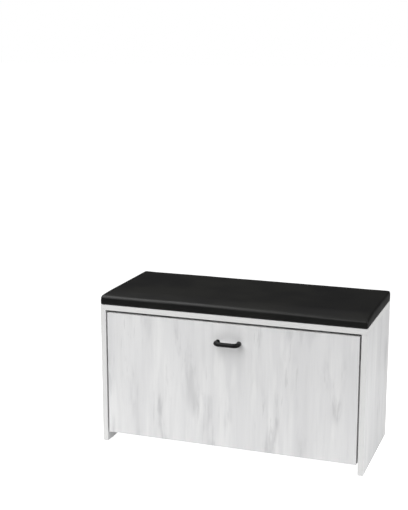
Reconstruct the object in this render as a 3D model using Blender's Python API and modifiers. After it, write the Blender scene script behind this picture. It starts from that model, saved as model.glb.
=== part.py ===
"""Entryway bench with a padded seat and one tip-out shoe rack, in metres, +Z up and the front towards -Y.

The case is two sides, a top and a back. The door is screwed to two quarter-circle brackets that carry
the shoe boards, and the whole rack tips forward on two pins low behind the door.
"""

import math

import bmesh
import bpy
from mathutils import Vector

# Driving dimensions of the case
WIDTH = 0.800
DEPTH = 0.340
CASE_HEIGHT = 0.430
SEAT_THICKNESS = 0.030
BOARD = 0.016
HANDLE_REACH = 0.031
GLIDE_HEIGHT = 0.003
GAP = 0.0003  # between pieces that touch

FRONT = HANDLE_REACH / 2 - DEPTH / 2
BACK = FRONT + DEPTH
HALF = WIDTH / 2
INNER = HALF - BOARD
EDGE_X = HALF - BOARD / 2
UNDER_TOP = CASE_HEIGHT - BOARD
SEAT_TOP = CASE_HEIGHT + SEAT_THICKNESS

# Seat pad
SEAT_BASE = 0.009
SEAT_CORNER = 0.0065
SEAT_CROWN = 0.0060
SEAT_BASE_INSET = 0.005

# Back board in its grooves, and the stretcher below it
BACK_BOARD = 0.003
BACK_BOARD_Y = BACK - 0.0145
GROOVE_DEPTH = 0.006
RAIL_BOTTOM = 0.033
RAIL_TOP = 0.113

# Door
REVEAL_SIDE = 0.005
REVEAL_TOP = 0.0075
DOOR_BOTTOM = 0.033
DOOR_HALF = INNER - REVEAL_SIDE
DOOR_TOP = UNDER_TOP - REVEAL_TOP
DOOR_BACK = FRONT + BOARD

# Handle
HANDLE_CENTRES = 0.064
HANDLE_BAR = 0.013
HANDLE_BULGE = 0.002  # how far the bow swells outside its feet
HANDLE_Z = DOOR_TOP - 0.055
HANDLE_BEND = 0.014

# Rack: u is the distance behind the pivot and w the height above it
PIVOT_Y = FRONT + 0.026
PIVOT_Z = 0.120
BRACKET_IN = 0.3695
BRACKET_OUT = 0.3815
BRACKET_FRONT = DOOR_BACK + GAP - PIVOT_Y
RAIL_BACK = BRACKET_FRONT + 0.0122
RAIL_HIGH = 0.212
ARC_OUT = 0.197
ARC_IN = 0.184
ARC_TAIL = -9.0
LUG_OUT = 0.209
LUG_TOP = 4.0
ARM_HALF = 0.016
STRUT_FOOT = 0.052
STRUT_HEAD = 0.090
STRUT_BACK = 0.146
LOW_WINDOW_BACK = 0.104
LOW_WINDOW_ROUND = 0.018
LOWER_ARM_TOP = -0.066
BRACKET_LOW = -0.092
LEDGE = 0.004
LEDGE_REACH = 0.012
FLANGE_REACH = 0.0175
FLANGE = 0.004
OPEN_ANGLE = 75.0

# Shoe boards
SHELF = 0.010
SHELF_HALF = BRACKET_IN - GAP
DIVIDER_FRONT = 0.120
DIVIDER_TOP = 0.134
DIVIDER_SCREW_W = 0.084
LOWER_FRONT = 0.015
LOWER_BASE = -0.082
UPPER_BASE = -0.009
UPPER_BACK = 0.193
UPPER_GROOVE = 0.003
HEEL_ROD = 0.008
HEEL_U = 0.1355
HEEL_W = 0.0065
HEEL_SOCKET = 0.005

# Pivot and stops
PIN = 0.008
STOP_RADIUS = 0.2045
OPEN_STOP_ANGLE = OPEN_ANGLE + LUG_TOP + 1.35
CLOSED_STOP_ANGLE = -1.35
BUSH_FLANGE = 0.010
BUSH_BODY = 0.0065

# Fasteners
CAM_RADIUS = 0.0075
CAM_DEPTH = 0.012
CAM_BOLT = 0.0033
CAM_SETBACK = 0.024
DOWEL = 0.004
SCREW = 0.0018
SCREW_HEAD = 0.004
HEAD_HEIGHT = 0.0022
CLEARANCE = 0.0004

# Places along the depth of the case
CAM_YS = (FRONT + 0.045, BACK - 0.060)
DOWEL_YS = (FRONT + 0.085, BACK - 0.100)
GLIDE_YS = (FRONT + 0.040, BACK - 0.040)
SEAT_SCREW_X = 0.300
SEAT_SCREW_YS = (FRONT + 0.080, BACK - 0.080)
RAIL_CAM_Z = 0.088
RAIL_DOWEL_Z = 0.055

SIDES = (("left", -1), ("right", 1))
X_AXIS = Vector((1, 0, 0))
Y_AXIS = Vector((0, 1, 0))
Z_AXIS = Vector((0, 0, 1))


def clear_scene():
    for obj in list(bpy.data.objects):
        bpy.data.objects.remove(obj, do_unlink=True)


def new_collection(name):
    collection = bpy.data.collections.new(name)
    bpy.context.scene.collection.children.link(collection)
    return collection


def make_material(name, colour, roughness, metallic=0.0):
    material = bpy.data.materials.new(name)
    material.use_nodes = True
    shader = material.node_tree.nodes["Principled BSDF"]
    shader.inputs["Base Color"].default_value = (*colour, 1)
    shader.inputs["Roughness"].default_value = roughness
    shader.inputs["Metallic"].default_value = metallic
    return material


clear_scene()
BENCH = new_collection("entryway_bench")
CUTTERS = new_collection("cutters")
OAK = make_material("white_oak_laminate", (0.70, 0.70, 0.68), 0.5)
HARDBOARD = make_material("white_hardboard", (0.66, 0.66, 0.64), 0.6)
WHITE_BOARD = make_material("white_board", (0.78, 0.78, 0.77), 0.45)
WHITE_PLASTIC = make_material("white_plastic", (0.76, 0.76, 0.75), 0.35)
LEATHER = make_material("black_faux_leather", (0.02, 0.02, 0.021), 0.45)
FOAM = make_material("foam", (0.75, 0.72, 0.60), 0.95)
PLYWOOD = make_material("plywood", (0.52, 0.40, 0.26), 0.7)
BLACK_METAL = make_material("black_metal", (0.015, 0.015, 0.016), 0.35, 1.0)
STEEL = make_material("steel", (0.60, 0.60, 0.60), 0.3, 1.0)
ZINC = make_material("zinc", (0.50, 0.50, 0.51), 0.4, 1.0)
NYLON = make_material("nylon", (0.80, 0.80, 0.76), 0.5)
BEECH = make_material("beech", (0.62, 0.46, 0.28), 0.7)

PIVOT = bpy.data.objects.new("rack_pivot", None)
PIVOT.location = (0, PIVOT_Y, PIVOT_Z)
BENCH.objects.link(PIVOT)


def finish(obj, material, moving=False, smooth=False):
    """Puts a new object in the bench, under the pivot empty if it moves."""
    BENCH.objects.link(obj)
    obj.data.materials.append(material)
    if smooth and obj.type == "MESH":
        obj.data.shade_smooth()
        obj.data.set_sharp_from_angle(angle=math.radians(35))
    if moving:
        obj.parent = PIVOT
        obj.location -= PIVOT.location
    return obj


def box_mesh(name, low, high):
    """A box mesh about its own centre, and that centre."""
    low, high = Vector(low), Vector(high)
    mesh = bpy.data.meshes.new(name)
    bm = bmesh.new()
    bmesh.ops.create_cube(bm, size=1)
    bmesh.ops.scale(bm, vec=high - low, verts=bm.verts)
    bm.to_mesh(mesh)
    bm.free()
    return mesh, (low + high) / 2


def box(name, low, high, material, moving=False):
    mesh, centre = box_mesh(name, low, high)
    obj = bpy.data.objects.new(name, mesh)
    obj.location = centre
    return finish(obj, material, moving)


def rack_point(x, u, w):
    return (x, PIVOT_Y + u, PIVOT_Z + w)


def rack_box(name, xs, us, ws, material):
    return box(name, rack_point(xs[0], us[0], ws[0]), rack_point(xs[1], us[1], ws[1]), material, True)


def helper(name, mesh, location, rotation=None):
    """A hidden object that cuts or joins."""
    obj = bpy.data.objects.new(name, mesh)
    obj.location = location
    obj.hide_render = True
    obj.display_type = "WIRE"
    if rotation:
        obj.rotation_mode = "QUATERNION"
        obj.rotation_quaternion = rotation
    CUTTERS.objects.link(obj)
    return obj


def combine(target, tool, operation):
    modifier = target.modifiers.new(tool.name, "BOOLEAN")
    modifier.operation = operation
    modifier.object = tool
    modifier.solver = "EXACT"


def cut_box(target, low, high):
    mesh, centre = box_mesh(target.name + "_cut", low, high)
    combine(target, helper(mesh.name, mesh, centre), "DIFFERENCE")


def add_box(target, low, high):
    mesh, centre = box_mesh(target.name + "_add", low, high)
    combine(target, helper(mesh.name, mesh, centre), "UNION")


def drill(target, start, end, radius, segments=16):
    """Cuts a round hole from start to end."""
    start, end = Vector(start), Vector(end)
    mesh = bpy.data.meshes.new(target.name + "_hole")
    bm = bmesh.new()
    bmesh.ops.create_cone(bm, cap_ends=True, segments=segments, radius1=radius, radius2=radius,
                          depth=(end - start).length)
    bm.to_mesh(mesh)
    bm.free()
    turn = (end - start).to_track_quat("Z", "Y")
    combine(target, helper(mesh.name, mesh, (start + end) / 2, turn), "DIFFERENCE")


def turned(name, profile, start, axis, material, moving=False, segments=16):
    """A body of revolution: profile is (radius, distance along axis from start), farthest end first."""
    mesh = bpy.data.meshes.new(name)
    bm = bmesh.new()
    corners = [bm.verts.new((radius, 0, along)) for radius, along in profile]
    closed = profile[0][0] > 0
    for a, b in zip(corners, corners[1:] + corners[:1] if closed else corners[1:]):
        bm.edges.new((a, b))
    bm.to_mesh(mesh)
    bm.free()
    obj = bpy.data.objects.new(name, mesh)
    obj.location = start
    obj.rotation_mode = "QUATERNION"
    obj.rotation_quaternion = Vector(axis).to_track_quat("Z", "Y")
    screw = obj.modifiers.new("turn", "SCREW")
    screw.axis = "Z"
    screw.steps = segments
    screw.render_steps = segments
    screw.use_merge_vertices = True
    screw.merge_threshold = 0.00001
    screw.use_smooth_shade = False
    return finish(obj, material, moving)


def rod(name, start, end, radius, material, moving=False, chamfer=0.0005, segments=16):
    """A round rod with a small chamfer at both ends."""
    length = (Vector(end) - Vector(start)).length
    profile = ((0, length), (radius - chamfer, length), (radius, length - chamfer),
               (radius, chamfer), (radius - chamfer, 0), (0, 0))
    return turned(name, profile, start, Vector(end) - Vector(start), material, moving, segments)


def screw(name, under_head, axis, length, material=ZINC, moving=False, radius=SCREW):
    """A pan-head screw whose shank runs along axis from the seat of its head."""
    tip = radius * 1.5
    profile = ((0, length), (radius, length - tip), (radius, 0), (SCREW_HEAD, 0),
               (SCREW_HEAD * 0.95, -HEAD_HEIGHT * 0.6), (SCREW_HEAD * 0.6, -HEAD_HEIGHT), (0, -HEAD_HEIGHT))
    return turned(name, profile, under_head, axis, material, moving, 12)


# Case ---------------------------------------------------------------------------------------------------


def make_sides():
    panels = {}
    for side, s in SIDES:
        low = (min(s * INNER, s * HALF), FRONT, GLIDE_HEIGHT)
        high = (max(s * INNER, s * HALF), BACK, UNDER_TOP - GAP)
        panel = box("side_panel_" + side, low, high, OAK)
        groove = sorted((s * (INNER - 0.005), s * (INNER + GROOVE_DEPTH)))
        half = BACK_BOARD / 2 + GAP
        cut_box(panel, (groove[0], BACK_BOARD_Y - half, RAIL_TOP - GROOVE_DEPTH),
                (groove[1], BACK_BOARD_Y + half, CASE_HEIGHT))
        panels[side] = panel
    return panels


def make_top():
    top = box("top_panel", (-HALF, FRONT, UNDER_TOP), (HALF, BACK, CASE_HEIGHT), OAK)
    half = BACK_BOARD / 2 + GAP
    reach = INNER + GROOVE_DEPTH
    cut_box(top, (-reach, BACK_BOARD_Y - half, UNDER_TOP - 0.01),
            (reach, BACK_BOARD_Y + half, UNDER_TOP + GROOVE_DEPTH))
    return top


def make_back():
    half = BACK_BOARD / 2
    reach = INNER + GROOVE_DEPTH - 2 * GAP
    box("back_panel", (-reach, BACK_BOARD_Y - half, RAIL_TOP - GROOVE_DEPTH + 2 * GAP),
        (reach, BACK_BOARD_Y + half, UNDER_TOP + GROOVE_DEPTH - 2 * GAP), HARDBOARD)
    rail = box("rear_rail", (GAP - INNER, BACK_BOARD_Y - BOARD / 2, RAIL_BOTTOM),
               (INNER - GAP, BACK_BOARD_Y + BOARD / 2, RAIL_TOP), OAK)
    cut_box(rail, (-HALF, BACK_BOARD_Y - half - GAP, RAIL_TOP - GROOVE_DEPTH),
            (HALF, BACK_BOARD_Y + half + GAP, RAIL_TOP + 0.01))
    return rail


def make_glides(panels):
    for side, s in SIDES:
        for place, y in zip(("front", "rear"), GLIDE_YS):
            nail, disc, nail_top = 0.0012, 0.007, 0.018
            profile = ((0, nail_top), (nail, nail_top - 0.003), (nail, GLIDE_HEIGHT - GAP),
                       (disc - 0.0006, GLIDE_HEIGHT - GAP), (disc, GLIDE_HEIGHT - 0.0009),
                       (disc, 0.0008), (disc - 0.0008, 0), (0, 0))
            start = (s * EDGE_X, y, 0)
            turned(f"foot_glide_{place}_{side}", profile, start, Z_AXIS, NYLON, segments=20)
            drill(panels[side], (s * EDGE_X, y, 0), (s * EDGE_X, y, nail_top + GAP), nail + CLEARANCE, 8)


def cam_lock(name, start, axis):
    """A cam housing: a short cylinder with a driver slot in its open face."""
    lock = rod(name, start, Vector(start) + CAM_DEPTH * Vector(axis), CAM_RADIUS, ZINC)
    slot_half = Vector((0.0006, 0.0006, 0.0006)) + Vector(axis) * 0.0006
    slot_half.z = 0.0045
    cut_box(lock, Vector(start) - slot_half, Vector(start) + slot_half)


def join_top(panels, top):
    """Cam bolts and dowels between the sides and the top."""
    lock_z = UNDER_TOP - CAM_SETBACK
    bolt_low = lock_z + CAM_RADIUS + GAP * 2
    bolt_high = UNDER_TOP + 0.0085
    for side, s in SIDES:
        for place, y in zip(("front", "rear"), CAM_YS):
            x = s * EDGE_X
            cam_lock(f"cam_lock_{place}_{side}", (s * (INNER + GAP), y, lock_z), s * X_AXIS)
            drill(panels[side], (s * (INNER - 0.005), y, lock_z),
                  (s * (INNER + CAM_DEPTH + 2 * GAP), y, lock_z), CAM_RADIUS + CLEARANCE, 20)
            rod(f"cam_bolt_{place}_{side}", (x, y, bolt_low), (x, y, bolt_high), CAM_BOLT, ZINC, segments=12)
            drill(panels[side], (x, y, lock_z), (x, y, CASE_HEIGHT), CAM_BOLT + CLEARANCE, 12)
            drill(top, (x, y, UNDER_TOP - 0.005), (x, y, bolt_high + GAP), CAM_BOLT + CLEARANCE, 12)
        for place, y in zip(("front", "rear"), DOWEL_YS):
            low, high = UNDER_TOP - 0.0150, UNDER_TOP + 0.0095
            rod(f"dowel_{place}_{side}", (x, y, low), (x, y, high), DOWEL, BEECH, chamfer=0.001, segments=12)
            drill(panels[side], (x, y, low - GAP), (x, y, CASE_HEIGHT), DOWEL + CLEARANCE, 12)
            drill(top, (x, y, UNDER_TOP - 0.005), (x, y, high + GAP), DOWEL + CLEARANCE, 12)


def join_rail(panels, rail):
    """One cam lock and one dowel at each end of the stretcher."""
    y = BACK_BOARD_Y
    lock_x = INNER - CAM_SETBACK
    out_x = INNER + 0.0105
    for side, s in SIDES:
        rear = y + BOARD / 2
        cam_lock("rail_cam_lock_" + side, (s * lock_x, rear - GAP, RAIL_CAM_Z), -Y_AXIS)
        drill(rail, (s * lock_x, rear + 0.005, RAIL_CAM_Z),
              (s * lock_x, rear - CAM_DEPTH - 2 * GAP, RAIL_CAM_Z), CAM_RADIUS + CLEARANCE, 20)
        bolt_in = lock_x + CAM_RADIUS + 2 * GAP
        rod("rail_cam_bolt_" + side, (s * bolt_in, y, RAIL_CAM_Z), (s * out_x, y, RAIL_CAM_Z),
            CAM_BOLT, ZINC, segments=12)
        dowel_in = INNER - 0.019
        rod("rail_dowel_" + side, (s * dowel_in, y, RAIL_DOWEL_Z), (s * out_x, y, RAIL_DOWEL_Z),
            DOWEL, BEECH, chamfer=0.001, segments=12)
        for start, z, radius in ((lock_x, RAIL_CAM_Z, CAM_BOLT), (dowel_in - GAP, RAIL_DOWEL_Z, DOWEL)):
            drill(rail, (s * start, y, z), (s * HALF, y, z), radius + CLEARANCE, 12)
            drill(panels[side], (s * (INNER - 0.005), y, z), (s * (out_x + GAP), y, z),
                  radius + CLEARANCE, 12)


# Seat ---------------------------------------------------------------------------------------------------


def make_seat(top):
    """A board and a foam pad inside a cover that folds under the board."""
    skin, fold = 0.0015, 0.028
    low = CASE_HEIGHT + GAP
    inside = skin + GAP
    base_low = low + inside
    foam_low = base_low + SEAT_BASE + GAP

    def corners(inset, bottom):
        return (inset - HALF, FRONT + inset, bottom), (HALF - inset, BACK - inset, SEAT_TOP - inset)

    cover = rounded_block("seat_cover", *corners(0, low), SEAT_CORNER, SEAT_CROWN, LEATHER)
    mesh, centre = rounded_mesh("seat_hollow", *corners(skin, low + skin), SEAT_CORNER - skin,
                                SEAT_CROWN - skin)
    combine(cover, helper("seat_hollow", mesh, centre), "DIFFERENCE")
    cut_box(cover, (fold - HALF, FRONT + fold, low - 0.01), (HALF - fold, BACK - fold, low + 2 * skin))
    rounded_block("seat_foam", *corners(inside, foam_low), SEAT_CORNER - inside, SEAT_CROWN - inside, FOAM)
    base_high = (HALF - SEAT_BASE_INSET, BACK - SEAT_BASE_INSET, foam_low - GAP)
    base = rounded_block("seat_base", corners(SEAT_BASE_INSET, base_low)[0], base_high, 0.003, 0, PLYWOOD)
    for side, s in SIDES:
        for place, y in zip(("front", "rear"), SEAT_SCREW_YS):
            x = s * SEAT_SCREW_X
            head = UNDER_TOP - GAP
            length = foam_low - 0.003 - head
            screw(f"seat_screw_{place}_{side}", (x, y, head), Z_AXIS, length)
            drill(top, (x, y, UNDER_TOP - 0.005), (x, y, CASE_HEIGHT + 0.005), SCREW + CLEARANCE, 12)
            drill(base, (x, y, CASE_HEIGHT - 0.01), (x, y, head + length + GAP), SCREW + CLEARANCE, 12)


def rounded_mesh(name, low, high, corner, crown):
    """A block with rounded upright corners and, where crown is set, a round along its top edge."""
    mesh, centre = box_mesh(name, low, high)
    bm = bmesh.new()
    bm.from_mesh(mesh)
    upright = [e for e in bm.edges if abs(e.verts[0].co.z - e.verts[1].co.z) > 0.001]
    bmesh.ops.bevel(bm, geom=upright, offset=corner, segments=3, profile=0.5, affect="EDGES")
    if crown:
        top_z = max(v.co.z for v in bm.verts)
        rim = [e for e in bm.edges if all(abs(v.co.z - top_z) < 1e-6 for v in e.verts)]
        bmesh.ops.bevel(bm, geom=rim, offset=crown, segments=3, profile=0.5, affect="EDGES")
    bm.to_mesh(mesh)
    bm.free()
    return mesh, centre


def rounded_block(name, low, high, corner, crown, material):
    mesh, centre = rounded_mesh(name, low, high, corner, crown)
    obj = bpy.data.objects.new(name, mesh)
    obj.location = centre
    return finish(obj, material, smooth=True)


# Door ---------------------------------------------------------------------------------------------------


def arc(centre_u, centre_w, radius, start, end, count):
    """Points round a circle, with angles in degrees from the u axis towards w."""
    angles = [math.radians(start + (end - start) * i / count) for i in range(count + 1)]
    return [(centre_u + radius * math.cos(a), centre_w + radius * math.sin(a)) for a in angles]


def make_door():
    door = box("door_panel", (-DOOR_HALF, FRONT, DOOR_BOTTOM), (DOOR_HALF, DOOR_BACK, DOOR_TOP), OAK, True)
    bar = HANDLE_BAR / 2
    post = HANDLE_CENTRES / 2
    foot = -GAP
    face = bar - HANDLE_REACH
    bend = face + HANDLE_BEND
    right = arc(post + HANDLE_BULGE - HANDLE_BEND, bend, HANDLE_BEND, 0, -90, 8)
    route = [(post, foot), (post, foot - 0.004), (post + HANDLE_BULGE * 0.6, bend * 0.55)] + right
    route += [(-x, y) for x, y in reversed(route)]
    handle = tube("handle", [(x, FRONT + y, HANDLE_Z) for x, y in route], bar)
    for side, s in SIDES:
        x = s * post
        screw("handle_screw_" + side, (x, DOOR_BACK + GAP, HANDLE_Z), -Y_AXIS, BOARD + 0.008, moving=True)
        drill(door, (x, DOOR_BACK + 0.005, HANDLE_Z), (x, FRONT - 0.005, HANDLE_Z), SCREW + CLEARANCE, 12)
        drill(handle, (x, FRONT + 0.005, HANDLE_Z), (x, FRONT - 0.009, HANDLE_Z), SCREW + CLEARANCE, 12)
    return door


def mesh_from_curve(curve_object):
    """Replaces a curve by a mesh with welded caps, which a Boolean can cut."""
    bpy.context.view_layer.update()
    graph = bpy.context.evaluated_depsgraph_get()
    mesh = bpy.data.meshes.new_from_object(curve_object.evaluated_get(graph))
    bm = bmesh.new()
    bm.from_mesh(mesh)
    bmesh.ops.remove_doubles(bm, verts=bm.verts, dist=0.000001)
    bmesh.ops.recalc_face_normals(bm, faces=bm.faces)
    bm.to_mesh(mesh)
    bm.free()
    obj = bpy.data.objects.new(curve_object.name + "_mesh", mesh)
    obj.matrix_world = curve_object.matrix_world
    name = curve_object.name
    bpy.data.objects.remove(curve_object, do_unlink=True)
    obj.name = name
    return obj


def tube(name, points, radius):
    curve = bpy.data.curves.new(name, "CURVE")
    curve.dimensions = "3D"
    curve.bevel_depth = radius
    curve.bevel_resolution = 4
    curve.use_fill_caps = True
    spline = curve.splines.new("POLY")
    spline.points.add(len(points) - 1)
    for point, place in zip(spline.points, points):
        point.co = (*place, 1)
    guide = bpy.data.objects.new(name, curve)
    CUTTERS.objects.link(guide)
    return finish(mesh_from_curve(guide), BLACK_METAL, moving=True, smooth=True)


# Rack ---------------------------------------------------------------------------------------------------


def bracket_outline():
    top = math.degrees(math.acos(RAIL_BACK / ARC_OUT))
    tail = arc(0, 0, ARC_OUT, 0, ARC_TAIL, 3)
    heel = (DIVIDER_FRONT + 0.016, BRACKET_LOW)
    pull = (heel[0] + 0.016, -0.042)
    scallop = []
    for i in range(1, 8):
        t = i / 8
        scallop.append(tuple((1 - t) ** 2 * tail[-1][k] + 2 * t * (1 - t) * pull[k] + t * t * heel[k]
                             for k in range(2)))
    outline = [(BRACKET_FRONT, BRACKET_LOW + 0.006), (BRACKET_FRONT, RAIL_HIGH), (RAIL_BACK, RAIL_HIGH)]
    outline += arc(0, 0, ARC_OUT, top, LUG_TOP, 24)
    outline += arc(0, 0, LUG_OUT, LUG_TOP, 0, 2)
    outline += tail + scallop + [heel, (0.012, BRACKET_LOW)]
    return outline


def bracket_windows():
    """Three openings in the web: in front of the strut, behind it, and under the arm."""
    high = math.degrees(math.acos(RAIL_BACK / ARC_IN))
    strut_front = math.degrees(math.acos(STRUT_HEAD / ARC_IN))
    strut_back = math.degrees(math.acos(STRUT_BACK / ARC_IN))
    arm = math.degrees(math.asin(ARM_HALF / ARC_IN))
    front = arc(0, 0, ARC_IN, high, strut_front, 6) + [(STRUT_FOOT, ARM_HALF), (RAIL_BACK, ARM_HALF)]
    rear = arc(0, 0, ARC_IN, strut_back, arm, 8) + [(STRUT_BACK, ARM_HALF)]
    turn = LOW_WINDOW_ROUND
    low = arc(RAIL_BACK + turn, LOWER_ARM_TOP + turn, turn, 270, 180, 5)
    low += arc(RAIL_BACK + turn, -ARM_HALF - turn, turn, 180, 90, 5)
    low += [(LOW_WINDOW_BACK, -ARM_HALF), (LOW_WINDOW_BACK, LOWER_ARM_TOP)]
    return [front, rear, low]


def make_bracket(side, s):
    curve = bpy.data.curves.new("bracket_" + side, "CURVE")
    curve.dimensions = "2D"
    curve.fill_mode = "BOTH"
    curve.extrude = (BRACKET_OUT - BRACKET_IN) / 2
    for loop in [bracket_outline()] + bracket_windows():
        spline = curve.splines.new("POLY")
        spline.points.add(len(loop) - 1)
        for point, (u, w) in zip(spline.points, loop):
            point.co = (u, w, 0, 1)
        spline.use_cyclic_u = True
    guide = bpy.data.objects.new("bracket_" + side, curve)
    guide.rotation_euler = (math.pi / 2, 0, math.pi / 2)
    guide.location = rack_point(s * (BRACKET_OUT + BRACKET_IN) / 2, 0, 0)
    CUTTERS.objects.link(guide)
    bracket = finish(mesh_from_curve(guide), WHITE_PLASTIC, moving=True)

    def side_box(reach, us, ws):
        xs = sorted((s * (BRACKET_IN - reach), s * (BRACKET_IN + 0.002)))
        add_box(bracket, rack_point(xs[0], us[0], ws[0]), rack_point(xs[1], us[1], ws[1]))

    side_box(FLANGE_REACH, (BRACKET_FRONT + GAP, BRACKET_FRONT + FLANGE),
             (LOWER_ARM_TOP + FLANGE, RAIL_HIGH - FLANGE))
    side_box(LEDGE_REACH, (LOWER_FRONT, DIVIDER_FRONT), (LOWER_BASE - GAP - LEDGE, LOWER_BASE - GAP))
    side_box(LEDGE_REACH, (DIVIDER_FRONT + 0.016, 0.176), (UPPER_BASE - GAP - LEDGE, UPPER_BASE - GAP))
    return bracket


def make_rack(door, panels):
    divider_us = (DIVIDER_FRONT, DIVIDER_FRONT + SHELF)
    upper_us = (divider_us[1] - UPPER_GROOVE + GAP, UPPER_BACK)
    span = (-SHELF_HALF, SHELF_HALF)
    floor_top = LOWER_BASE + SHELF
    divider = rack_box("divider_shelf", span, divider_us, (floor_top + GAP, DIVIDER_TOP), WHITE_BOARD)
    rack_box("lower_shelf", span, (LOWER_FRONT, divider_us[1]), (LOWER_BASE, floor_top), WHITE_BOARD)
    rack_box("upper_shelf", span, upper_us, (UPPER_BASE, UPPER_BASE + SHELF), WHITE_BOARD)
    cut_box(divider, rack_point(-HALF, divider_us[1] - UPPER_GROOVE, UPPER_BASE - GAP),
            rack_point(HALF, divider_us[1] + 0.005, UPPER_BASE + SHELF + GAP))
    reach = BRACKET_IN + HEEL_SOCKET
    rod("heel_rail", rack_point(-reach + GAP, HEEL_U, HEEL_W), rack_point(reach - GAP, HEEL_U, HEEL_W),
        HEEL_ROD / 2, STEEL, moving=True)
    for side, s in SIDES:
        bracket = make_bracket(side, s)
        drill(bracket, rack_point(s * (BRACKET_IN - 0.02), HEEL_U, HEEL_W),
              rack_point(s * reach, HEEL_U, HEEL_W), HEEL_ROD / 2 + CLEARANCE)
        fit_pivot(side, s, bracket, panels[side])
        fit_stops(side, s, panels[side])
        fit_bracket_screws(side, s, bracket, door, divider)


def fit_pivot(side, s, bracket, panel):
    """A steel pin in the bracket's boss turns in a nylon bush in the side panel."""
    pin, head = PIN / 2, 0.0052
    start = BRACKET_IN - GAP
    length = INNER + 0.0105 - start
    profile = ((0, length), (pin - 0.0006, length), (pin, length - 0.0006), (pin, 0), (head, 0),
               (head, -0.0015), (head - 0.0005, -0.002), (0, -0.002))
    turned("pivot_pin_" + side, profile, rack_point(s * start, 0, 0), s * X_AXIS, STEEL, True, 20)
    drill(bracket, rack_point(s * (start - 0.005), 0, 0), rack_point(s * HALF, 0, 0), pin + CLEARANCE, 20)
    bore = pin + CLEARANCE
    flange_in, depth = -0.0018, 0.011
    profile = ((bore, depth), (BUSH_BODY, depth), (BUSH_BODY, -GAP), (BUSH_FLANGE, -GAP),
               (BUSH_FLANGE, flange_in), (bore, flange_in))
    turned("pivot_bush_" + side, profile, rack_point(s * INNER, 0, 0), s * X_AXIS, NYLON, segments=20)
    drill(panel, rack_point(s * (INNER - 0.005), 0, 0), rack_point(s * (INNER + depth + GAP), 0, 0),
          BUSH_BODY + CLEARANCE, 20)


def fit_stops(side, s, panel):
    """Two pins in the side panel stop the lug of the bracket at each end of its swing."""
    for name, angle in (("open_stop_", OPEN_STOP_ANGLE), ("closed_stop_", CLOSED_STOP_ANGLE)):
        u = STOP_RADIUS * math.cos(math.radians(angle))
        w = STOP_RADIUS * math.sin(math.radians(angle))
        rod(name + side, rack_point(s * (BRACKET_IN + 0.001), u, w), rack_point(s * (INNER + 0.0105), u, w),
            PIN / 2, NYLON)
        drill(panel, rack_point(s * (INNER - 0.005), u, w), rack_point(s * (INNER + 0.0108), u, w),
              PIN / 2 + CLEARANCE)


def fit_bracket_screws(side, s, bracket, door, divider):
    flange_x = s * (BRACKET_IN - FLANGE_REACH / 2)
    flange_back = BRACKET_FRONT + FLANGE
    for place, w in (("upper", 0.190), ("lower", -0.040)):
        head = rack_point(flange_x, flange_back + GAP, w)
        reach = FLANGE + 0.0125
        screw(f"bracket_screw_{place}_{side}", head, -Y_AXIS, reach, moving=True)
        drill(bracket, rack_point(flange_x, flange_back + 0.003, w),
              rack_point(flange_x, BRACKET_FRONT - 0.003, w), SCREW + CLEARANCE, 12)
        drill(door, rack_point(flange_x, BRACKET_FRONT + 0.003, w),
              rack_point(flange_x, flange_back - reach, w), SCREW + CLEARANCE, 12)
    u, w = DIVIDER_FRONT + SHELF / 2, DIVIDER_SCREW_W
    seat = BRACKET_OUT - 0.0028
    screw("divider_screw_" + side, rack_point(s * seat, u, w), -s * X_AXIS, 0.032, moving=True)
    drill(bracket, rack_point(s * (seat - GAP), u, w), rack_point(s * HALF, u, w), SCREW_HEAD + CLEARANCE)
    drill(bracket, rack_point(s * (BRACKET_IN - 0.005), u, w), rack_point(s * (seat + 0.001), u, w),
          SCREW + CLEARANCE, 12)
    drill(divider, rack_point(s * (seat - 0.0323), u, w), rack_point(s * HALF, u, w), SCREW + CLEARANCE, 12)


def main():
    panels = make_sides()
    top = make_top()
    rail = make_back()
    make_glides(panels)
    join_top(panels, top)
    join_rail(panels, rail)
    make_seat(top)
    make_rack(make_door(), panels)


main()
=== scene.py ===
import math

import bmesh
import bpy
from mathutils import Euler, Matrix, Vector, noise


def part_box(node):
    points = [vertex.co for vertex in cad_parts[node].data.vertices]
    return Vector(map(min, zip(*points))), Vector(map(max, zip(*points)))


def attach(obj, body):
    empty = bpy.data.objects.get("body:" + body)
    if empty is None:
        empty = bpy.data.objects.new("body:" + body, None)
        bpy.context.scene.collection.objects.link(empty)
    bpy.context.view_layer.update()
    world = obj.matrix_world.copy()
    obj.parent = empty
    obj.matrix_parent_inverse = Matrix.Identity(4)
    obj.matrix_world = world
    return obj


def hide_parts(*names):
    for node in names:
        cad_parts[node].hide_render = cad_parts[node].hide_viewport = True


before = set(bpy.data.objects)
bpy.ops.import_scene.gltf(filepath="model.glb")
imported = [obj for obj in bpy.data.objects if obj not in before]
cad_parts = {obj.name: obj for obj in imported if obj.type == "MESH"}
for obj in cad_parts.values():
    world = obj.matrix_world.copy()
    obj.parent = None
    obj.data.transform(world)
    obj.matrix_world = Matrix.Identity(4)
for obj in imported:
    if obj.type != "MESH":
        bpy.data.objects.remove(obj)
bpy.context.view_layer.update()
AXES = "XYZ"
TINY = 1e-6

# Lengths are in metres and angles in degrees, apart from the camera's focal length, in millimetres
CAMERA_PLACE = (0.937, -2.959, 1.237)
CAMERA_YAW = 19.819
CAMERA_PITCH = 12.001
CAMERA_LENS = 75.90


# Node helpers -------------------------------------------------------------------------------------------


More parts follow.
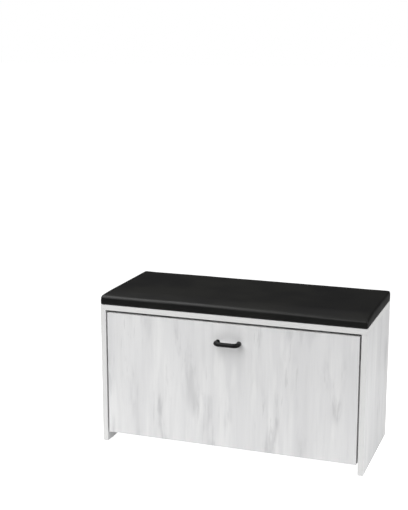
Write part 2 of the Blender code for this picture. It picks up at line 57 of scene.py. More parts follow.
class Shader:
    """A material built one node at a time. Its textures use object coordinates, in metres."""

    def __init__(self, name, **surface):
        self.material = bpy.data.materials.new(name)
        self.material.use_nodes = True
        self.tree = self.material.node_tree
        self.surface = self.tree.nodes["Principled BSDF"]
        self.place = self.add("ShaderNodeTexCoord").outputs["Object"]
        for socket, value in surface.items():
            self.set(socket.replace("_", " "), value)

    def add(self, kind, inputs=None, **settings):
        node = self.tree.nodes.new(kind)
        for key, value in settings.items():
            setattr(node, key, value)
        for key, value in (inputs or {}).items():
            self.feed(node.inputs[key], value)
        return node

    def feed(self, socket, value):
        if isinstance(value, bpy.types.NodeSocket):
            self.tree.links.new(value, socket)
        else:
            socket.default_value = value

    def set(self, socket, value):
        if isinstance(value, tuple) and len(value) == 3:
            value = (*value, 1)
        self.feed(self.surface.inputs[socket], value)

    def scaled(self, scale, offset=(0, 0, 0)):
        inputs = {"Vector": self.place, "Scale": scale, "Location": offset}
        return self.add("ShaderNodeMapping", inputs).outputs[0]

    def noise(self, vector, scale, detail=2.0, rough=0.5, distortion=0.0):
        inputs = {"Vector": vector, "Scale": scale, "Detail": detail, "Roughness": rough,
                  "Distortion": distortion}
        return self.add("ShaderNodeTexNoise", inputs).outputs["Fac"]

    def maths(self, operation, a, b=0.0):
        return self.add("ShaderNodeMath", {0: a, 1: b}, operation=operation).outputs[0]

    def fit(self, value, low, high, to_low=0.0, to_high=1.0):
        inputs = {"Value": value, "From Min": low, "From Max": high, "To Min": to_low, "To Max": to_high}
        return self.add("ShaderNodeMapRange", inputs, interpolation_type="SMOOTHSTEP").outputs[0]

    def mix(self, share, a, b):
        pick = self.add("ShaderNodeMix", {0: share}, data_type="RGBA")
        for socket, value in ((pick.inputs[6], a), (pick.inputs[7], b)):
            self.feed(socket, (*value, 1) if isinstance(value, tuple) else value)
        return pick.outputs[2]

    def bump(self, height, strength, distance, under=None):
        inputs = {"Height": height, "Strength": strength, "Distance": distance}
        if under:
            inputs["Normal"] = under
        return self.add("ShaderNodeBump", inputs).outputs[0]


# Materials ----------------------------------------------------------------------------------------------

OAK_LIGHT = (0.715, 0.715, 0.715)
OAK_DARK = (0.645, 0.645, 0.65)
OAK_GLOW = (0.765, 0.765, 0.76)
OAK_STREAK = (0.57, 0.57, 0.575)
OAK_SMOKE = (0.455, 0.455, 0.465)
OAK_STROKE = (0.39, 0.39, 0.395)
OAK_EDGE = (0.675, 0.675, 0.67)

# Each layer of the oak decor: scale kept along the grain, offset, scale, detail, roughness, distortion,
# and the noise values that give none and all of it
OAK_LAYERS = {
    "broad": (0.10, (0.0, 0.3, 0.0), 13.0, 2.0, 0.55, 0.0, 0.30, 0.70),
    "streak": (0.07, (0.5, 0.0, 0.2), 46.0, 3.0, 0.6, 0.0, 0.42, 0.72),
    "patch": (0.30, (0.1, 0.9, 0.4), 12.0, 2.0, 0.5, 0.0, 0.44, 0.66),
    "smoke": (0.20, (0.7, 0.2, 0.6), 30.0, 4.0, 0.58, 0.2, 0.45, 0.69),
    "stroke": (0.12, (0.3, 0.4, 0.8), 120.0, 2.0, 0.5, 0.3, 0.60, 0.72),
    "glow": (0.14, (0.9, 0.6, 0.1), 30.0, 2.0, 0.5, 0.0, 0.56, 0.74),
    "pores": (0.02, (0.2, 0.1, 0.0), 900.0, 2.0, 0.6, 0.0, 0.62, 0.72),
}
FIBRE_STRETCH = 0.02
FIBRE_SCALE = 420.0
STREAK_SHARE = 0.36
GLOW_SHARE = 0.55
SMOKE_SHARE = 0.78
STROKE_SHARE = 0.32
STROKE_OUTSIDE_PATCH = 0.15
FIBRE_SHARE = 0.14
PORE_SHARE = 0.14
EDGE_FIBRE_SHARE = 0.18
FACING_EDGE, FACING_BROAD = 0.25, 0.55  # share of the normal along the face axis, on an edge and on a face

LEATHER_TONES = ((0.0042, 0.0042, 0.0044), (0.0064, 0.0064, 0.0056))
LEATHER_PEBBLE = (0.0090, 0.0090, 0.0086)
LEATHER_PEBBLE_SHARE = 0.35
LEATHER_ROUGHNESS = (0.33, 0.43)
PLY = 0.0018  # thickness of one layer of plywood
BRUSH_STRETCH = 0.03  # scale kept along the brushing of metal and along the grain of unfinished wood
STREAK_STRETCH = 0.06


def oak(name, grain, face, shift=0.0):
    """White-washed oak laminate. grain is the axis it runs along, and face the axis across the board."""
    s = Shader(name, Roughness=0.5)

    def drawn(share, offset=(0.0, 0.0, 0.0)):
        stretch = [1.0, 1.0, 1.0]
        stretch[AXES.index(grain)] = share
        return s.scaled(stretch, tuple(shift + o for o in offset))

    layer = {}
    for key, (share, offset, scale, detail, rough, distortion, low, high) in OAK_LAYERS.items():
        layer[key] = s.fit(s.noise(drawn(share, offset), scale, detail, rough, distortion), low, high)
    fibre = s.noise(drawn(FIBRE_STRETCH), FIBRE_SCALE, detail=3.0, rough=0.65)
    smoke = s.maths("MULTIPLY", layer["smoke"], layer["patch"])
    stroke = s.fit(layer["patch"], 0.0, 1.0, STROKE_OUTSIDE_PATCH, 1.0)
    stroke = s.maths("MULTIPLY", layer["stroke"], stroke)
    colour = s.mix(layer["broad"], OAK_DARK, OAK_LIGHT)
    for marks, share, tone in (
        (layer["streak"], STREAK_SHARE, OAK_STREAK), (layer["glow"], GLOW_SHARE, OAK_GLOW),
        (smoke, SMOKE_SHARE, OAK_SMOKE), (stroke, STROKE_SHARE, OAK_STROKE),
    ):
        colour = s.mix(s.maths("MULTIPLY", marks, share), colour, tone)
    colour = s.mix(s.fit(fibre, 0.35, 0.65, 0.0, FIBRE_SHARE), colour, OAK_STREAK)
    colour = s.mix(s.maths("MULTIPLY", layer["pores"], PORE_SHARE), colour, OAK_STROKE)
    normal = s.add("ShaderNodeTexCoord").outputs["Normal"]
    parts = s.add("ShaderNodeSeparateXYZ", {0: normal})
    facing = s.maths("ABSOLUTE", parts.outputs[AXES.index(face)])
    edge = s.fit(facing, FACING_BROAD, FACING_EDGE)
    band = s.mix(s.fit(fibre, 0.3, 0.7, 0.0, EDGE_FIBRE_SHARE), OAK_EDGE, OAK_STREAK)
    s.set("Base Color", s.mix(edge, colour, band))
    s.set("Roughness", s.fit(fibre, 0.3, 0.7, 0.46, 0.56))
    s.set("Normal", s.bump(s.maths("SUBTRACT", fibre, layer["pores"]), strength=0.25, distance=0.0002))
    return s.material


def leather():
    """Black faux leather with a fine pebble grain, soft creases and slightly uneven gloss."""
    s = Shader("black_faux_leather", Roughness=0.45, Specular_IOR_Level=0.17)
    cells = s.add("ShaderNodeTexVoronoi", {"Vector": s.place, "Scale": 620.0, "Randomness": 0.9},
                  feature="SMOOTH_F1").outputs["Distance"]
    warped = s.noise(s.place, scale=1500.0, rough=0.6)
    crease = s.noise(s.scaled((1.0, 2.2, 1.0)), scale=55.0, detail=4.0, rough=0.6, distortion=0.6)
    haze = s.noise(s.place, scale=7.0)
    tint = s.mix(s.fit(haze, 0.35, 0.65), *LEATHER_TONES)
    s.set("Base Color", s.mix(s.fit(cells, 0.1, 0.6, 0.0, LEATHER_PEBBLE_SHARE), tint, LEATHER_PEBBLE))
    gloss = s.maths("ADD", haze, s.maths("MULTIPLY", warped, 0.3))
    s.set("Roughness", s.fit(gloss, 0.45, 0.85, *LEATHER_ROUGHNESS))
    soft = s.bump(crease, strength=0.12, distance=0.0010)
    pebble = s.maths("ADD", cells, s.maths("MULTIPLY", warped, 0.35))
    s.set("Normal", s.bump(pebble, strength=0.35, distance=0.00035, under=soft))
    return s.material


def moulded(name, light, dark, roughness):
    """Moulded plastic: a faint cloud of colour, a fine spark texture and uneven gloss."""
    s = Shader(name, Roughness=roughness)
    cloud = s.noise(s.place, scale=14.0, detail=3.0)
    spark = s.noise(s.place, scale=1560.0, rough=0.7)
    s.set("Base Color", s.mix(s.fit(cloud, 0.3, 0.7), light, dark))
    s.set("Roughness", s.fit(cloud, 0.3, 0.7, roughness - 0.05, roughness + 0.07))
    s.set("Normal", s.bump(spark, strength=0.18, distance=0.0001))
    return s.material


def metal(name, light, dark, roughness, axis=None, metallic=1.0, bump=0.08, specular=0.5):
    """Metal, brushed along one axis where axis is set, with small colour and gloss changes."""
    s = Shader(name, Roughness=roughness, Metallic=metallic, Specular_IOR_Level=specular)
    stretch = [1.0, 1.0, 1.0]
    if axis:
        stretch[AXES.index(axis)] = BRUSH_STRETCH
    brush = s.noise(s.scaled(stretch), scale=900.0, detail=3.0, rough=0.6)
    cloud = s.noise(s.place, scale=45.0)
    s.set("Base Color", s.mix(s.fit(cloud, 0.3, 0.7), light, dark))
    s.set("Roughness", s.fit(brush, 0.3, 0.7, roughness - 0.06, roughness + 0.08))
    s.set("Normal", s.bump(brush, strength=bump, distance=0.0001))
    return s.material


def raw_wood(name, light, dark, grain, plies=False):
    """Unfinished wood: streaks along one axis and, for plywood, its layers at the edge."""
    s = Shader(name, Roughness=0.75)
    stretch = [1.0, 1.0, 1.0]
    stretch[AXES.index(grain)] = STREAK_STRETCH
    streak = s.noise(s.scaled(stretch), scale=160.0, detail=3.0, rough=0.6)
    colour = s.mix(s.fit(streak, 0.3, 0.7), light, dark)
    if plies:
        height = s.add("ShaderNodeSeparateXYZ", {0: s.place}).outputs["Z"]
        layers = s.maths("PINGPONG", s.maths("MULTIPLY", height, 1 / PLY), 1.0)
        cross_grain = tuple(c * 0.55 for c in dark)
        colour = s.mix(s.fit(layers, 0.3, 0.7, 0.0, 0.45), colour, cross_grain)
    s.set("Base Color", colour)
    s.set("Normal", s.bump(streak, strength=0.2, distance=0.0002))
    return s.material


def board(name, tone):
    """White melamine-faced board: a fine orange-peel face and faint long cloudiness."""
    s = Shader(name, Roughness=0.42)
    cloud = s.noise(s.scaled((0.2, 1.0, 1.0)), scale=16.0)
    peel = s.noise(s.place, scale=700.0)
    shade = tuple(c * 0.94 for c in tone)
    s.set("Base Color", s.mix(s.fit(cloud, 0.3, 0.7), tone, shade))
    s.set("Roughness", s.fit(peel, 0.3, 0.7, 0.38, 0.48))
    s.set("Normal", s.bump(peel, strength=0.12, distance=0.00012))
    return s.material


def hardboard():
    """Painted hardboard: smooth white face with the mesh print of its back showing faintly."""
    s = Shader("painted_hardboard", Roughness=0.6)
    cloud = s.noise(s.place, scale=11.0, detail=3.0)
    print_marks = s.add("ShaderNodeTexVoronoi", {"Vector": s.place, "Scale": 480.0, "Randomness": 0.25})
    s.set("Base Color", s.mix(s.fit(cloud, 0.3, 0.7), (0.66, 0.66, 0.655), (0.60, 0.60, 0.597)))
    s.set("Normal", s.bump(print_marks.outputs["Distance"], strength=0.2, distance=0.0002))
    return s.material


def foam():
    """Open-cell foam."""
    s = Shader("cream_foam", Roughness=0.95)
    pores = s.add("ShaderNodeTexVoronoi", {"Vector": s.place, "Scale": 1100.0}).outputs["Distance"]
    s.set("Base Color", s.mix(s.fit(pores, 0.1, 0.6), (0.60, 0.56, 0.42), (0.74, 0.70, 0.56)))
    s.set("Normal", s.bump(pores, strength=0.5, distance=0.0005))
    return s.material


def make_materials():
    return {
        "oak_x_top": oak("oak_along_x_top", "X", "Z", 1.3),
        "oak_x_rail": oak("oak_along_x_rail", "X", "Y", 2.9),
        "oak_side": oak("oak_side", "Z", "X", 0.4),
        "oak_door": oak("oak_door", "Z", "Y", 0.0),
        "hardboard": hardboard(),
        "board": board("white_melamine", (0.63, 0.63, 0.63)),
        "plastic": moulded("white_plastic", (0.75, 0.75, 0.745), (0.70, 0.70, 0.695), 0.38),
        "nylon": moulded("nylon", (0.74, 0.74, 0.70), (0.66, 0.66, 0.62), 0.5),
        "leather": leather(),
        "foam": foam(),
        "plywood": raw_wood("birch_plywood", (0.60, 0.47, 0.30), (0.46, 0.34, 0.20), "X", plies=True),
        "beech": raw_wood("beech_dowel", (0.62, 0.45, 0.27), (0.48, 0.33, 0.19), "Z"),
        "black": metal("black_powder_coat", (0.0028, 0.0028, 0.0030), (0.0045, 0.0045, 0.0048), 0.40,
                       metallic=0.0, bump=0.15, specular=0.14),
        "steel": metal("bright_steel", (0.62, 0.62, 0.62), (0.50, 0.50, 0.51), 0.26, axis="X"),
        "zinc": metal("zinc_plate", (0.58, 0.58, 0.60), (0.44, 0.44, 0.47), 0.36),
    }


NODE_MATERIALS = (
    ("top_panel", "oak_x_top"), ("rear_rail", "oak_x_rail"), ("side_panel", "oak_side"),
    ("door_panel", "oak_door"), ("back_panel", "hardboard"), ("divider_shelf", "board"),
    ("lower_shelf", "board"), ("upper_shelf", "board"), ("bracket_left", "plastic"),
    ("bracket_right", "plastic"), ("foot_glide", "nylon"), ("pivot_bush", "nylon"),
    ("open_stop", "nylon"), ("closed_stop", "nylon"), ("seat_base", "plywood"), ("seat_foam", "foam"),
    ("seat_cover", "leather"), ("dowel", "beech"), ("rail_dowel", "beech"), ("handle", "black"),
    ("handle_screw", "zinc"), ("seat_screw", "zinc"), ("bracket_screw", "zinc"),
    ("divider_screw", "zinc"), ("cam", "zinc"), ("rail_cam", "zinc"), ("pivot_pin", "steel"),
    ("heel_rail", "steel"),
)


def key_for(node):
    """The material of the longest name that the node's own name starts with."""
    found = [entry for entry in NODE_MATERIALS if node.startswith(entry[0])]
    return max(found, key=lambda entry: len(entry[0]))[1]


def dress_nodes(materials):
    for name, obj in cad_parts.items():
        obj.data.materials.clear()
        obj.data.materials.append(materials[key_for(name)])


# Edges of the carried-over parts ------------------------------------------------------------------------

# Radius of the softened edges of each node
SOFT_EDGES = {
    "top_panel": 0.0007, "door_panel": 0.0007, "side_panel_left": 0.0007, "side_panel_right": 0.0007,
    "rear_rail": 0.0007, "divider_shelf": 0.0006, "lower_shelf": 0.0006, "upper_shelf": 0.0006,
    "bracket_left": 0.0007, "bracket_right": 0.0007,
}
SAME_POINT = 0.00001
FLAT_WITHIN = math.radians(2)
SHARP_OVER = math.radians(40)


def soften_nodes():
    """Rounds the sharp edges of the CAD nodes without touching their meshes."""
    for node, width in SOFT_EDGES.items():
        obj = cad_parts[node]
        weld = obj.modifiers.new("weld", "WELD")
        weld.merge_threshold = SAME_POINT
        flat = obj.modifiers.new("flat", "DECIMATE")
        flat.decimate_type = "DISSOLVE"
        flat.angle_limit = FLAT_WITHIN
        bevel = obj.modifiers.new("edges", "BEVEL")
        bevel.width = width
        bevel.segments = 2
        bevel.limit_method = "ANGLE"
        bevel.angle_limit = SHARP_OVER
        bevel.harden_normals = True


# Pieces -------------------------------------------------------------------------------------------------


def new_piece(name, mesh, material, body, *nodes):
    obj = bpy.data.objects.new(name, mesh)
    bpy.context.scene.collection.objects.link(obj)
    mesh.materials.clear()
    mesh.materials.append(material)
    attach(obj, body)
    if nodes:
        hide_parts(*nodes)
    return obj


def evaluated_mesh(obj):
    graph = bpy.context.evaluated_depsgraph_get()
    graph.update()
    return bpy.data.meshes.new_from_object(obj.evaluated_get(graph))


# Seat cushion: the grid of the blank, close together where the block is rounded
RIM_STEPS = (0.0, 0.0012, 0.0028, 0.0048, 0.0072, 0.0100, 0.0135, 0.018, 0.024, 0.032)
WIDE_STEP = 0.012
HEIGHT_STEPS = (0.0, 0.0008, 0.0022, 0.0045, 0.0080, 0.0120, 0.0160, 0.0195, 0.0225, 0.0255, 0.0280)
OVER_SIDES = 0.0004  # how far the blank stands past the CAD pad
OVER_TOP = 0.0008
PLAN_POWER = 5  # 2 gives round plan corners, and a higher power squarer ones
EDGE_ROUND = 0.0085
FOOT_ROUND = 0.0014
FRONT_DEEP = 0.024  # depth of the rounding along the front edge
FRONT_FROM, FRONT_FULL = 0.08, 0.02  # distance from the front where that rounding starts and is complete

# The front top edge: the cover is tightest at one place, and lies lower away from it
TIGHTEST = -0.10
DROP_LEAST = 0.0024
DROP_RIGHT = 0.036
DROP_LEFT = 0.10
DROP_LEFT_MOST = 0.0022
ROLL_LEAST, ROLL_SHARE, ROLL_WAVE = 0.0086, 0.40, 0.0006
SLUMP_LEAST, SLUMP_SHARE, SLUMP_WAVE = 0.0008, 0.50, 0.0004
SLUMP_REACH = 0.045

# Cloth: heights are shares of the pad's height, and weights say how firmly the foam holds the cover
CLOTH_FRAMES = 16
CLOTH_STIFFNESS = 25
CLOTH_PRESSURE = 2.5
MOST_PUFF = 0.0035
BASE_HEIGHT = 0.12
TOP_HEIGHT = 0.6
SIDE_HOLD = 0.15
TOP_HOLD = 0.04
RIM_HOLD, RIM_WIDTH = 0.5, 0.020

# Soft waves of the cover, and the pocket round the seat board
WAVE, RIPPLE = 0.0007, 0.0004
WAVES_FROM = 0.45
SIDE_WAVE = 0.0010
RIPPLE_ON_SIDES = 0.8
FLAT_RIM = 0.6
RIM_POWER, SIDE_POWER = 12, 20  # a higher power keeps an effect closer to the edge
FOLD = 0.028  # width of the cover's turned edge under the pad
POCKET_ROOM = 0.0003
CUT_BELOW, CUT_OVERLAP = 0.01, 0.001


def spaced(length):
    """Places from 0 to length, close together at both ends."""
    middle = length - 2 * RIM_STEPS[-1]
    count = math.ceil(middle / WIDE_STEP)
    inner = [RIM_STEPS[-1] + middle * i / count for i in range(1, count)]
    return list(RIM_STEPS) + inner + [length - step for step in reversed(RIM_STEPS)]


def drop(x):
    """How far the shiny line of the front edge lies below the crown."""
    away = x - TIGHTEST
    if away > 0:
        return DROP_LEAST + DROP_RIGHT * away ** 2
    return DROP_LEAST + min(DROP_LEFT_MOST, DROP_LEFT * away ** 2)


def roll(x):
    """Height of the rounded part of the front top edge."""
    wave = noise.noise(Vector((x * 9, 2, 5)))
    return ROLL_LEAST + ROLL_SHARE * (drop(x) - DROP_LEAST) + ROLL_WAVE * wave


def slump(x):
    """How far the top sinks towards the front edge, as the foam gives there."""
    wave = noise.noise(Vector((x * 11, 7, 1)))
    return SLUMP_LEAST + SLUMP_SHARE * (drop(x) - DROP_LEAST) + SLUMP_WAVE * wave


def rounded(point, low, high):
    """Moves a point of the block's surface onto the rounded block."""
    front = max(0.0, min(1.0, (FRONT_FROM - (point.y - low.y)) / (FRONT_FROM - FRONT_FULL)))
    side = EDGE_ROUND
    deep = side + (FRONT_DEEP - side) * front
    tall = side + (roll(point.x) - side) * front
    if point.z < (low.z + high.z) / 2:
        tall = FOOT_ROUND
        deep = side
    core = Vector((min(max(point.x, low.x + side), high.x - side),
                   min(max(point.y, low.y + deep), high.y - side),
                   min(max(point.z, low.z + tall), high.z - tall)))
    out = point - core
    back = deep if out.y < 0 else side
    ratio = Vector((out.x / side, out.y / back, out.z / tall))
    flat = (abs(ratio.x) ** PLAN_POWER + abs(ratio.y) ** PLAN_POWER) ** (2 / PLAN_POWER)
    length = math.sqrt(flat + ratio.z ** 2)
    if length < TINY:
        return point
    ratio /= length
    return core + Vector((ratio.x * side, ratio.y * back, ratio.z * tall))


def cushion_blank(low, high):
    """The pad as a rounded block of quads, a little larger than the CAD pad."""
    start = low - Vector((OVER_SIDES, OVER_SIDES, 0))
    end = high + Vector((OVER_SIDES, OVER_SIDES, OVER_TOP))
    tall = end.z - start.z
    places = (spaced(end.x - start.x), spaced(end.y - start.y),
              [step * tall / HEIGHT_STEPS[-1] for step in HEIGHT_STEPS])
    last = [len(p) - 1 for p in places]
    bm = bmesh.new()
    known = {}

    def corner(index):
        if index not in known:
            point = start + Vector(places[axis][i] for axis, i in enumerate(index))
            known[index] = bm.verts.new(rounded(point, start, end))
        return known[index]

    for axis in range(3):
        u, v = [a for a in range(3) if a != axis]
        for side in (0, last[axis]):
            for i in range(last[u]):
                for j in range(last[v]):
                    loop = []
                    for di, dj in ((0, 0), (1, 0), (1, 1), (0, 1)):
                        index = [0, 0, 0]
                        index[axis], index[u], index[v] = side, i + di, j + dj
                        loop.append(corner(tuple(index)))
                    bm.faces.new(loop)
    bmesh.ops.recalc_face_normals(bm, faces=bm.faces)
    mesh = bpy.data.meshes.new("cushion_blank")
    bm.to_mesh(mesh)
    bm.free()
    blank = bpy.data.objects.new("cushion_blank", mesh)
    bpy.context.scene.collection.objects.link(blank)
    return blank


def hold(obj, low, high):
    """A vertex group for the cloth: the base is held fast, and the edges softly, as the foam does it."""
    group = obj.vertex_groups.new(name="held")
    for v in obj.data.vertices:
        edge = min(v.co.x - low.x, high.x - v.co.x, v.co.y - low.y, high.y - v.co.y)
        height = (v.co.z - low.z) / (high.z - low.z)
        if height < BASE_HEIGHT:
            weight = 1.0
        elif height > TOP_HEIGHT:
            weight = TOP_HOLD + RIM_HOLD * math.exp(-(edge / RIM_WIDTH) ** 2)
        else:
            weight = SIDE_HOLD
        group.add([v.index], weight, "REPLACE")
    return group


def inflate(obj, low, high):
    """Blows the cover up, so that its faces swell, and limits how far any point has moved."""
    rest = [v.co.copy() for v in obj.data.vertices]
    cloth = obj.modifiers.new("cloth", "CLOTH")
    settings = cloth.settings
    settings.vertex_group_mass = hold(obj, low, high).name
    settings.pin_stiffness = 1.0
    settings.quality = 5
    settings.mass = 0.4
    settings.tension_stiffness = CLOTH_STIFFNESS
    settings.compression_stiffness = CLOTH_STIFFNESS
    settings.shear_stiffness = 10
    settings.bending_stiffness = 1.0
    settings.use_pressure = True
    settings.uniform_pressure_force = CLOTH_PRESSURE
    settings.effector_weights.gravity = 0
    cloth.point_cache.frame_start = 1
    cloth.point_cache.frame_end = CLOTH_FRAMES
    for step in range(1, CLOTH_FRAMES + 1):
        bpy.context.scene.frame_set(step)
    puffed = evaluated_mesh(obj)
    obj.modifiers.clear()
    for vertex, start, end in zip(obj.data.vertices, rest, puffed.vertices):
        move = end.co - start
        if move.length > MOST_PUFF:
            move *= MOST_PUFF / move.length
        vertex.co = start + move
    bpy.context.scene.frame_set(1)


def settle(obj, low, high):
    """Lays long soft waves along the cover and lets its top sink towards the front edge."""
    bm = bmesh.new()
    bm.from_mesh(obj.data)
    bmesh.ops.smooth_vert(bm, verts=bm.verts, factor=0.5, use_axis_x=True, use_axis_y=True, use_axis_z=True)
    middle = (low + high) / 2
    half = (high - low) / 2
    for v in bm.verts:
        height = (v.co.z - low.z) / (high.z - low.z)
        along = (v.co.x - middle.x) / half.x
        across = (v.co.y - middle.y) / half.y
        wave = noise.noise(Vector((v.co.x * 7.0, v.co.y * 5.0, 3.0)))
        ripple = noise.noise(Vector((v.co.x * 24.0, v.co.y * 9.0, 8.0)))
        if height > WAVES_FROM:
            rim = max(abs(along), abs(across)) ** RIM_POWER
            v.co.z += WAVE * wave * (1 - FLAT_RIM * rim) + RIPPLE * ripple
            near = max(0.0, v.co.y - low.y)
            sunk = slump(v.co.x) * math.exp(-(near / SLUMP_REACH) ** 2)
            v.co.z -= (height - WAVES_FROM) / (1 - WAVES_FROM) * sunk
        belly = math.sin(math.pi * min(max(height, 0), 1))
        swell = SIDE_WAVE * (wave + ripple * RIPPLE_ON_SIDES) * belly
        v.co.y += math.copysign(1, across) * abs(across) ** SIDE_POWER * swell
        v.co.z = max(v.co.z, low.z)
    bm.to_mesh(obj.data)
    bm.free()


def pocket(obj, low, high):
    """Opens the underside round the seat board, and leaves the folded edge of the cover."""
    board_low, board_high = (Vector(c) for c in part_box("seat_base"))
    room = Vector((POCKET_ROOM, POCKET_ROOM, POCKET_ROOM))
    cuts = (
        (board_low - room, board_high + room),
        (Vector((low.x + FOLD, low.y + FOLD, low.z - CUT_BELOW)),
         Vector((high.x - FOLD, high.y - FOLD, board_low.z + CUT_OVERLAP))),
    )
    tools = []
    for number, (start, end) in enumerate(cuts):
        bm = bmesh.new()
        bmesh.ops.create_cube(bm, size=1)
        bmesh.ops.scale(bm, vec=end - start, verts=bm.verts)
        bmesh.ops.translate(bm, vec=(start + end) / 2, verts=bm.verts)
        mesh = bpy.data.meshes.new("pocket")
        bm.to_mesh(mesh)
        bm.free()
        tool = bpy.data.objects.new(f"pocket_{number}", mesh)
        bpy.context.scene.collection.objects.link(tool)
        cut = obj.modifiers.new(tool.name, "BOOLEAN")
        cut.object = tool
        cut.operation = "DIFFERENCE"
        cut.solver = "EXACT"
        tools.append(tool)
    opened = evaluated_mesh(obj)
    obj.modifiers.clear()
    for tool in tools:
        bpy.data.objects.remove(tool, do_unlink=True)
    obj.data = opened


def make_cushion(materials):
    low, high = (Vector(c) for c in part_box("seat_cover"))
    blank = cushion_blank(low, high)
    inflate(blank, low, high)
    settle(blank, low, high)
    smooth = blank.modifiers.new("smooth", "SUBSURF")
    smooth.levels = 1
    smooth.render_levels = 1
    fine = evaluated_mesh(blank)
    blank.modifiers.clear()
    blank.data = fine
    pocket(blank, low, high)
    mesh = blank.data
    bpy.data.objects.remove(blank, do_unlink=True)
    cushion = new_piece("seat_cushion", mesh, materials["leather"], "case", "seat_cover", "seat_foam")
    mesh.shade_smooth()
    mesh.set_sharp_from_angle(angle=math.radians(50))


# Handle
FOOT_RADIUS = 0.0072
FOOT_HEIGHT = 0.0045
FOOT_RIM, FOOT_STEP = 0.0014, 0.0026  # height where the foot's straight rim ends, and where its cone starts
FOOT_INSET = 0.0005
BAR_ROOM = 0.0001
FOOT_SIDES = 48
HANDLE_CENTRES = 0.064
HANDLE_BEND = 0.0135
POST_START = 0.002  # length of each post before it swells outwards
NECK, NECK_AT = 0.08, 0.3  # how much the bar thins on each post, and where along its reach
POST_STEPS, BEND_STEPS, BAR_STEPS = 12, 16, 6


def make_handle(materials):
    """A smooth bow that swells a little outside its feet, with a small round foot at each end."""
    low, high = (Vector(c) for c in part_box("handle"))
    bar = (high.z - low.z) / 2
    handle = new_piece("handle_bow", handle_bar(low, high, bar), materials["black"], "rack", "handle")
    outline = [(0.0, 0.0), (FOOT_RADIUS, 0.0), (FOOT_RADIUS, FOOT_RIM),
               (FOOT_RADIUS - FOOT_INSET, FOOT_STEP), (bar + BAR_ROOM, FOOT_HEIGHT), (0.0, FOOT_HEIGHT)]
    for side, s in (("left", -1), ("right", 1)):
        name = "handle_foot_" + side
        place = Vector((s * HANDLE_CENTRES / 2, high.y, (low.z + high.z) / 2))
        foot = lathe(name, outline, place, Vector((0, -1, 0)), FOOT_SIDES)
        piece = new_piece(name, foot, materials["black"], "rack")


def handle_route(low, high, bar):
    """The middle line of the bow, from the right foot round to the left one."""
    z = (low.z + high.z) / 2
    post = HANDLE_CENTRES / 2
    widest = high.x - bar
    face = low.y + bar
    start = high.y - POST_START
    rise = start - (face + HANDLE_BEND)
    route = [Vector((post, high.y, z))]
    for step in range(POST_STEPS + 1):
        share = step / POST_STEPS
        swell = (widest - post) * math.sin(math.pi / 2 * share)
        route.append(Vector((post + swell, start - rise * share, z)))
    for step in range(1, BEND_STEPS + 1):
        angle = math.radians(90 * step / BEND_STEPS)
        route.append(Vector((widest - HANDLE_BEND + HANDLE_BEND * math.cos(angle),
                             face + HANDLE_BEND - HANDLE_BEND * math.sin(angle), z)))
    for step in range(1, BAR_STEPS):
        route.append(Vector(((widest - HANDLE_BEND) * (1 - step / BAR_STEPS), face, z)))
    return route + [Vector((-p.x, p.y, p.z)) for p in reversed(route)]


def handle_bar(low, high, bar):
    """The bow as a mesh: a round bar along its route, a little thinner part way up each post."""
    route = handle_route(low, high, bar)
    reach = high.y - (low.y + bar)
    curve = bpy.data.curves.new("handle_bar", "CURVE")
    curve.dimensions = "3D"
    curve.bevel_depth = bar
    curve.bevel_resolution = 10
    curve.use_fill_caps = True
    spline = curve.splines.new("POLY")
    spline.points.add(len(route) - 1)
    for point, place in zip(spline.points, route):
        share = (high.y - place.y) / reach
        point.co = (*place, 1)
        point.radius = 1.0 - NECK * max(0.0, 1 - abs(share - NECK_AT) / NECK_AT)
    guide = bpy.data.objects.new("handle_bar", curve)
    bpy.context.scene.collection.objects.link(guide)
    mesh = evaluated_mesh(guide)
    bpy.data.objects.remove(guide, do_unlink=True)
    bm = bmesh.new()
    bm.from_mesh(mesh)
    bmesh.ops.remove_doubles(bm, verts=bm.verts, dist=TINY)
    bm.to_mesh(mesh)
    bm.free()
    mesh.shade_smooth()
    mesh.set_sharp_from_angle(angle=math.radians(40))
    return mesh


def lathe(name, outline, place, axis, steps):
    """A closed turned mesh: outline is (radius, distance along axis), from the near end to the far end."""
    bm = bmesh.new()
    rings = []
    for radius, along in outline:
        if radius == 0:
            rings.append([bm.verts.new((0, 0, along))])
            continue
        turns = [2 * math.pi * i / steps for i in range(steps)]
        rings.append([bm.verts.new((radius * math.cos(a), radius * math.sin(a), along)) for a in turns])
    for near, far in zip(rings, rings[1:]):
        for i in range(steps):
            j = (i + 1) % steps
            if len(near) == 1:
                bm.faces.new((near[0], far[j], far[i]))
            elif len(far) == 1:
                bm.faces.new((near[i], near[j], far[0]))
            else:
                bm.faces.new((near[i], near[j], far[j], far[i]))
    bmesh.ops.recalc_face_normals(bm, faces=bm.faces)
    mesh = bpy.data.meshes.new(name)
    bm.to_mesh(mesh)
    bm.free()
    mesh.transform(Matrix.Translation(place) @ axis.to_track_quat("Z", "Y").to_matrix().to_4x4())
    mesh.shade_smooth()
    mesh.set_sharp_from_angle(angle=math.radians(35))
    return mesh


# Stage --------------------------------------------------------------------------------------------------

# Light of the sky: little from low down in front and behind, and SKY_TOP from high up. The ranges are Z of
# the direction, and FRONT_TO_BEHIND is its Y
SKY_TOP = 0.66
SKY_FRONT, FRONT_RISE = 0.06, (0.30, 0.80)
SKY_BEHIND, BEHIND_RISE = 0.04, (0.40, 0.85)
FRONT_TO_BEHIND = (-0.1, 0.5)

# The floor lights the bench from close by, and little from far in front or behind. The ranges are Y
FLOOR_FAR, FLOOR_GLOW = 0.08, 0.50
FLOOR_GREY_FAR, FLOOR_GREY = (0.15, 0.15, 0.15), (0.4, 0.4, 0.4)
NEAR_FRONT = (-1.15, -0.55)
NEAR_BEHIND = (0.55, 1.15)

# Where the floor under the bench turns dark: distance from the middle in X, then Y in front and behind
UNDER_SIDES = (0.36, 0.40)
UNDER_FRONT = (-0.06, -0.03)
UNDER_BACK = (0.175, 0.185)

